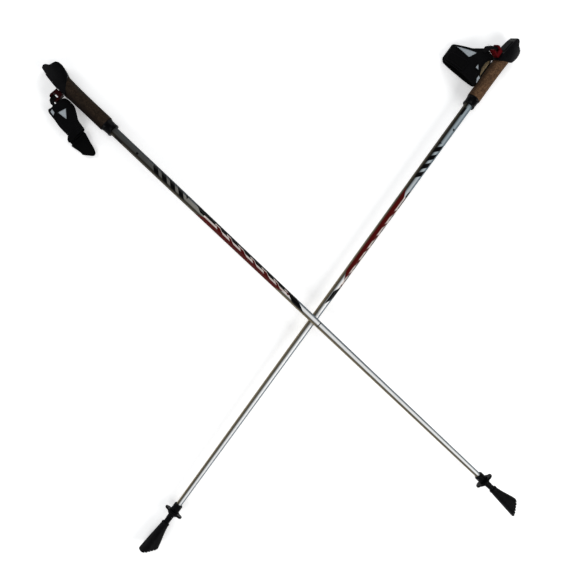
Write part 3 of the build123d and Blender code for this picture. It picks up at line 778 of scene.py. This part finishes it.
def swept(points, normals, width, height, sides=10):
    """Points, faces and pattern of a flattened, capped tube along a line on a surface."""
    sideways = sideways_along(points, normals)
    turn = np.linspace(0, 2 * math.pi, sides, endpoint=False)
    rings = [points + (math.cos(a) * width / 2 * MM) * sideways
             + (math.sin(a) * height / 2 * MM) * normals for a in turn]
    count = len(points)
    verts = np.stack(rings, axis=1).reshape(-1, 3)
    reach = np.concatenate([[0], np.cumsum(np.linalg.norm(np.diff(points, axis=0), axis=1))]) / MM
    pattern = np.array([(k * width * 1.5 / sides, reach[i])
                        for i in range(count) for k in range(sides)])
    faces = [
        [i * sides + k, i * sides + (k + 1) % sides,
         (i + 1) * sides + (k + 1) % sides, (i + 1) * sides + k]
        for i in range(count - 1) for k in range(sides)
    ]
    faces += [list(range(sides))[::-1], [(count - 1) * sides + k for k in range(sides)]]
    return verts, faces, pattern


def joined(name, parts):
    """One object from several (points, faces, pattern) groups."""
    points, faces, pattern, start = [], [], [], 0
    for some_points, some_faces, some_pattern in parts:
        points.append(some_points)
        pattern.append(some_pattern)
        faces += [[start + i for i in face] for face in some_faces]
        start += len(some_points)
    return mesh_piece(name, np.vstack(points), faces, np.vstack(pattern))


def surface_normals(loop, flat, lift):
    """Directions straight out of the surface at flat points."""
    out = loop.place(flat, lift + 1.0) - loop.place(flat, lift)
    return out / np.linalg.norm(out, axis=1)[:, None]


def runs_off_fold(edge, fold=0.6):
    """The stretches of a closed edge that aren't within fold of the oval's far fold."""
    free = edge[:, 0] > fold
    if free.all():
        return [np.vstack([edge, edge[:1]])]
    start = int(np.argmin(free))
    turned, free = np.roll(edge, -start, 0), np.roll(free, -start)
    runs, current = [], []
    for point, is_free in zip(turned, free):
        if is_free:
            current.append(point)
        elif current:
            runs.append(np.array(current))
            current = []
    if current:
        runs.append(np.array(current))
    return [run for run in runs if len(run) > 6]


def inset(run, distance):
    """A run of an edge moved inside the piece by a distance."""
    step = np.gradient(run, axis=0)
    step /= np.linalg.norm(step, axis=1)[:, None] + 1e-12
    return run + distance * np.column_stack([-step[:, 1], step[:, 0]])


def signed_area(edge):
    """The area inside a closed edge, positive when it runs counterclockwise."""
    x, y = edge[:, 0], edge[:, 1]
    return 0.5 * float(np.sum(x * np.roll(y, -1) - np.roll(x, -1) * y))


def turn_inward(edge):
    """The same closed edge, run so that inset moves it inside."""
    return edge if signed_area(edge) > 0 else edge[::-1]


# How far a binding sits inside the cut edge, as a share of its width, and how a stitch rises
# and dips along its length, in millimetres.
BINDING_INSET = 0.28
STITCH_RISE = (-0.35, 0.0, 0.08, 0.0, -0.35)


def binding(loop, edge, lift, width=2.6, height=2.3):
    """A bound edge: folded tape round the cut edge of a layer."""
    parts = []
    for run in runs_off_fold(turn_inward(edge)):
        line = inset(run, width * BINDING_INSET)
        parts.append(swept(loop.place(line, np.full(len(line), lift)),
                           surface_normals(loop, line, lift), width, height))
    return parts


def stitches(loop, edge, distance, lift, length=2.3, gap=1.3, thick=0.42):
    """A row of thread stitches at a distance inside an edge."""
    parts = []
    for run in runs_off_fold(turn_inward(edge)):
        line = inset(run, distance)
        reach = np.concatenate([[0], np.cumsum(np.linalg.norm(np.diff(line, axis=0), axis=1))])
        start = gap
        while start + length < reach[-1]:
            stops = np.linspace(start, start + length, len(STITCH_RISE))
            flat = np.column_stack([np.interp(stops, reach, line[:, k]) for k in range(2)])
            points = loop.place(flat, np.array(STITCH_RISE) + lift)
            parts.append(swept(points, surface_normals(loop, flat, lift), thick, thick, sides=6))
            start += length + gap
    return parts


FABRICS = {
    "cuff": knit("cuff_fabric", (0.0020, 0.0020, 0.0024)),
    "palm": suede("palm_fabric", (0.0022, 0.0022, 0.0025)),
    "lining": suede("lining_fabric", (0.34, 0.255, 0.145), sheen=0.05, pile=1.4),
    "panel": weave("panel_fabric", (0.40, 0.44, 0.47), (0.28, 0.31, 0.33), pitch=0.9),
    "band": weave("band_fabric", (0.0018, 0.0018, 0.0022), pitch=0.8),
    "tab": suede("tab_fabric", (0.0018, 0.0018, 0.0020)),
    "hook": knit("hook_fabric", (0.010, 0.010, 0.010), pitch=1.4, ribs=0.0),
    "web": weave("webbing", (0.0022, 0.0022, 0.0025), pitch=1.5, roughness=0.62),
    "thread": weave("strap_thread", (0.009, 0.009, 0.010), pitch=0.5),
}


def declare_sheet(edge):
    """Works out the box round a sheet's flat outline and its own area, and keeps neither."""
    smallest = 0.01
    width, length = (max(float(v) * MM, smallest) for v in edge.max(0) - edge.min(0))
    abs(signed_area(edge)) * MM * MM


def add_panels(side, top):
    """The light panels on the back of the cuff, each with a narrow stitched rim."""
    body = f"{side}_strap"
    for which, outline in zip(("large", "small"), PANELS[side]):
        panel, edge = sewn_patch(f"{side}_{which}_panel_cloth", top, outline, lift=1.5,
                                 thickness=0.8, corner=1.6, gap=0.8, puff=0.15)
        finish_piece(panel, FABRICS["panel"], body, [f"{side}_{which}_panel"])
        declare_sheet(edge)
        rim = joined(f"{side}_{which}_panel_rim",
                     binding(top, edge, lift=1.2, width=0.9, height=0.9)
                     + stitches(top, edge, 1.5, lift=1.47, length=1.5, gap=1.0, thick=0.3))
        finish_piece(rim, FABRICS["thread"], body)
    if side == "lower":
        flash, edge = sewn_patch("lower_edge_flash", top, SLIVER, lift=1.2, thickness=0.8,
                                 corner=1.2, gap=0.8)
        finish_piece(flash, FABRICS["panel"], body)
        declare_sheet(edge)


def add_cuff(side):
    """One glove strap: back and palm layers, lining, light panels and a rolled thumb edge."""
    body = f"{side}_strap"
    top, low = Loop(side, upper=True, **OVALS[side]), Loop(side, upper=False, **OVALS[side])
    trim_lift = -FABRIC * 0.45

    back, edge = sewn_patch(f"{side}_cuff_back_cloth", top, FAR[side] + THUMB[side], puff=0.5,
                            folds=(9, 0.7), seam_at=4.2)
    finish_piece(back, FABRICS["cuff"], body, [f"{side}_cuff_back"])
    trim = joined(f"{side}_cuff_binding", binding(top, edge, trim_lift))
    finish_piece(trim, FABRICS["band"], body)
    thread = joined(f"{side}_cuff_stitches",
                    stitches(top, edge, 2.9, 0.12) + stitches(top, edge, 5.4, 0.35))
    finish_piece(thread, FABRICS["thread"], body)
    declare_sheet(edge)

    palm, edge = sewn_patch(f"{side}_palm_cloth", low, FAR[side] + NEAR[side], puff=-0.2,
                            folds=(4, 0.3))
    finish_piece(palm, FABRICS["palm"], body, [f"{side}_cuff_palm"])
    trim = joined(f"{side}_palm_binding", binding(low, edge, trim_lift, 2.4, 2.0))
    finish_piece(trim, FABRICS["band"], body)
    declare_sheet(edge)

    lining, edge = sewn_patch(f"{side}_lining_cloth", low, LINING[side], lift=-FABRIC - 0.25,
                              thickness=0.8, corner=4.0)
    finish_piece(lining, FABRICS["lining"], body, [f"{side}_cuff_lining"])
    declare_sheet(edge)

    add_panels(side, top)
    edge = top.cut(rounded(THUMB[side], 3.0, closed=False))
    roll = swept(top.place(edge, np.full(len(edge), -0.2)), surface_normals(top, edge, 0.0),
                 width=3.2, height=2.6, sides=14)
    band = joined(f"{side}_thumb_band", [roll])
    finish_piece(band, FABRICS["band"], body, [f"{side}_thumb_loop"])
    return top


# The upper flap's plane, where its hinge is, and the hinge tape under it, in millimetres.
HINGE_AT, FLAP_HEIGHT, FLAP_SLOPE, TAPE_HEIGHT = 122.7, -10.0, 0.012, -12.7


def add_wrist_hem():
    """The upper strap's padded wrist hem and the tape that its flap hinges on."""
    tape, edge = sewn_patch("upper_hinge_tape", Flat("upper", HINGE_AT, TAPE_HEIGHT, 0.0),
                            HINGE_TAPE, thickness=0.6, corner=1.5)
    finish_piece(tape, FABRICS["tab"], "upper_strap")
    declare_sheet(edge)
    band, edge = sewn_patch("upper_wrist_hem", Loop("upper", upper=True, **BAND_OVAL),
                            WRIST_BAND, corner=4.0, puff=0.9, seam_at=3.4)
    finish_piece(band, FABRICS["tab"], "upper_strap")
    declare_sheet(edge)


def add_tab(side, top):
    """The closing flap with its bound edge and stitches, and its hook patch."""
    body = f"{side}_tab"
    if side == "upper":
        add_wrist_hem()
        base, lift, patch_lift = Flat(side, HINGE_AT, FLAP_HEIGHT, FLAP_SLOPE), 0.0, -FABRIC - 0.1
    else:
        base, lift, patch_lift = top, 2.9, 1.5
    flap, edge = sewn_patch(f"{side}_tab_cloth", base, TABS[side], lift=lift, corner=3.5,
                            thickness=1.2, folds=(3, 0.3), seam_at=3.2)
    finish_piece(flap, FABRICS["tab"], body, [f"{side}_wrist_tab"])
    declare_sheet(edge)
    trim = joined(f"{side}_tab_binding", binding(base, edge, lift - 0.6, 2.2, 1.8)
                  + stitches(base, edge, 2.4, lift + 0.1))
    finish_piece(trim, FABRICS["band"], body)
    patch, edge = sewn_patch(f"{side}_hook_cloth", base, PATCHES[side], lift=patch_lift,
                             thickness=0.8, corner=1.5)
    finish_piece(patch, FABRICS["hook"], body, [f"{side}_hook_patch"])
    declare_sheet(edge)


# Webbing, in millimetres: its edges down the pole, the clip's pin and the loop round it, the
# end inside the cuff, where it begins to widen, half the gap between its legs, its thickness.
WEB_TOP, WEB_LOW = 45.6, 54.4
WEB_PIN = {"lower": (23.745, 14.838), "upper": (28.0, 0.0)}
WEB_ARM_Y = {"lower": 5.6, "upper": 0.6}
WEB_FLARE = {"lower": 27.0, "upper": 34.0}
WEB_END, WEB_RING, WEB_HALF_GAP, WEB_THICK = 40.5, 2.5, 0.62, 1.15


def ribbon(path, tops, lows, rows=10):
    """Webbing on edge: a line in the (x, y) plane, from tops to lows along the pole."""
    share = np.linspace(0, 1, rows)
    reach = np.concatenate([[0], np.cumsum(np.hypot(*np.diff(path, axis=0).T))])
    down = (tops[:, None] + (lows - tops)[:, None] * share).ravel()
    faces = [[i * rows + k, i * rows + k + 1, (i + 1) * rows + k + 1, (i + 1) * rows + k]
             for i in range(len(path) - 1) for k in range(rows - 1)]
    return np.repeat(path, rows, axis=0), down, faces, np.repeat(reach, rows)


def web_path(side, heading, end):
    """The webbing's line in the (x, y) plane: one leg, the loop round the pin, the other leg."""
    pin = WEB_PIN[side]
    away = math.asin(WEB_HALF_GAP / WEB_RING)
    turn = np.linspace(heading + away, heading + 2 * math.pi - away, 36)
    circle = np.column_stack([pin[0] + WEB_RING * np.cos(turn), pin[1] + WEB_RING * np.sin(turn)])
    stops = np.linspace(0, 1, 26)[1:, None]
    aside = np.array([-math.sin(heading), math.cos(heading)]) * WEB_HALF_GAP
    upper_leg = circle[0] + (end + aside - circle[0]) * stops
    lower_leg = circle[-1] + (end - aside - circle[-1]) * stops
    return np.vstack([upper_leg[::-1], circle, lower_leg])


def add_webbing(side):
    """Webbing looped round the clip's pin and sewn to itself, then into the cuff."""
    pin, end = np.array(WEB_PIN[side]), np.array((WEB_END, WEB_ARM_Y[side]))
    heading = math.atan2(end[1] - pin[1], end[0] - pin[0])
    path = web_path(side, heading, end)
    flare = np.clip((path[:, 0] - WEB_FLARE[side]) / (WEB_END - WEB_FLARE[side]), 0, 1)
    tops = WEB_TOP + 7.0 * flare ** 2
    lows = WEB_LOW + 10.0 * np.clip(flare * 1.6, 0, 1) ** 1.5
    line, down, faces, along = ribbon(path, tops, lows)
    web = mesh_piece(f"{side}_web_cloth", in_scene(side, line[:, 0], line[:, 1], down), faces,
                     np.column_stack([along, down]))
    thicken(web, WEB_THICK, offset=0)
    finish_piece(web, FABRICS["web"], f"{side}_strap", [f"{side}_strap_webbing"])

    normal = np.array([-math.sin(heading), math.cos(heading)])
    way = np.tile(np.array(LYING[side].to_3x3() @ Vector((*normal, 0))), (4, 1))
    outside, pitch, from_edge = 1.28, 0.11, 1.4
    dips = ((0, -0.3), (0.02, 0), (0.06, 0), (0.08, -0.3))
    rows = []
    for down in (WEB_TOP + from_edge, WEB_LOW - from_edge):
        for start in np.arange(0.35, 0.80, pitch):
            line = np.array([pin + (end - pin) * (start + at) + normal * (outside + dip)
                             for at, dip in dips])
            placed = in_scene(side, line[:, 0], line[:, 1], np.full(len(line), down))
            rows.append(swept(placed, way, 0.45, 0.45, sides=6))
    thread = joined(f"{side}_web_stitches", rows)
    finish_piece(thread, FABRICS["thread"], f"{side}_strap")


for side in SIDES:
    cuff_top = add_cuff(side)
    add_tab(side, cuff_top)
    add_webbing(side)


# ---------------------------------------------------------------- stage

# In metres, watts and degrees. The camera's place is measured from where the poles cross.
CAMERA_FROM_CROSSING, CAMERA_HEIGHT = (-0.1987, 0.0510), 1.1511
CAMERA_TILT = (0.32, -7.71, 0.01)
CAMERA_LENS, CAMERA_SENSOR = 40.0, 36.0
FLOOR_HALF, FLOOR_DROP, FLOOR_GLOW, WORLD_STRENGTH = 6.0, 0.0002, 0.35, 0.14
LAMP_HEIGHT, LAMP_SIZE = 1.45, 1.5
LAMPS = (
    ("key", (1.9, -1.3), 42.0, (1.0, 0.99, 0.98)),
    ("low", (-1.5, -1.8), 28.0, (1.0, 1.0, 1.0)),
    ("left", (-2.0, 1.2), 22.0, (0.98, 0.99, 1.0)),
    ("back", (1.2, 2.0), 24.0, (0.98, 0.99, 1.0)),
)


def add_object(name, data):
    made = bpy.data.objects.new(name, data)
    bpy.context.scene.collection.objects.link(made)
    return made


def add_floor():
    """A wide sheet of pale paper that glows faintly, so that it comes out evenly white."""
    mesh = bpy.data.meshes.new("floor")
    corners = [(-1, -1), (1, -1), (1, 1), (-1, 1)]
    mesh.from_pydata([(x * FLOOR_HALF, y * FLOOR_HALF, 0) for x, y in corners], [], [(0, 1, 2, 3)])
    floor = add_object("floor", mesh)
    paper = Shader("floor_paper", roughness=0.9)
    tone = paper.noise(paper.point(), 0.004, detail=2.0)
    paper.colour(paper.mix((0.93, 0.93, 0.93), (0.96, 0.96, 0.96), tone))
    paper.plug(paper.bsdf.inputs["Emission Color"], (1.0, 1.0, 1.0))
    paper.bsdf.inputs["Emission Strength"].default_value = FLOOR_GLOW
    mesh.materials.append(paper.material)
    floor.location.z = -FLOOR_DROP


def add_light():
    """Four large soft lamps round the poles, aimed at the middle, and a dim pale sky."""
    world = bpy.data.worlds.new("studio")
    bpy.context.scene.world = world
    world.use_nodes = True
    background = world.node_tree.nodes["Background"]
    background.inputs["Color"].default_value = (0.93, 0.96, 1.0, 1.0)
    background.inputs["Strength"].default_value = WORLD_STRENGTH
    for name, place, power, tint in LAMPS:
        data = bpy.data.lights.new(name, "AREA")
        data.size, data.energy, data.color = LAMP_SIZE, power, tint
        lamp = add_object(name, data)
        lamp.location = (*place, LAMP_HEIGHT)
        lamp.rotation_euler = (-Vector(lamp.location)).to_track_quat("-Z", "Y").to_euler()


def add_camera():
    """The camera, above and a little to one side of where the poles' axes cross."""
    data = bpy.data.cameras.new("camera")
    data.lens, data.sensor_width = CAMERA_LENS, CAMERA_SENSOR
    camera = add_object("camera", data)
    lower, upper = (LYING[side] @ Vector((0, 0, -CROSSING[side] * MM)) for side in SIDES)
    camera.location = (lower + upper) / 2 + Vector((*CAMERA_FROM_CROSSING, 0))
    camera.location.z = CAMERA_HEIGHT
    camera.rotation_euler = [math.radians(angle) for angle in CAMERA_TILT]
    bpy.context.scene.camera = camera
    bpy.context.scene.view_settings.view_transform = "Standard"


add_floor()
add_light()
add_camera()
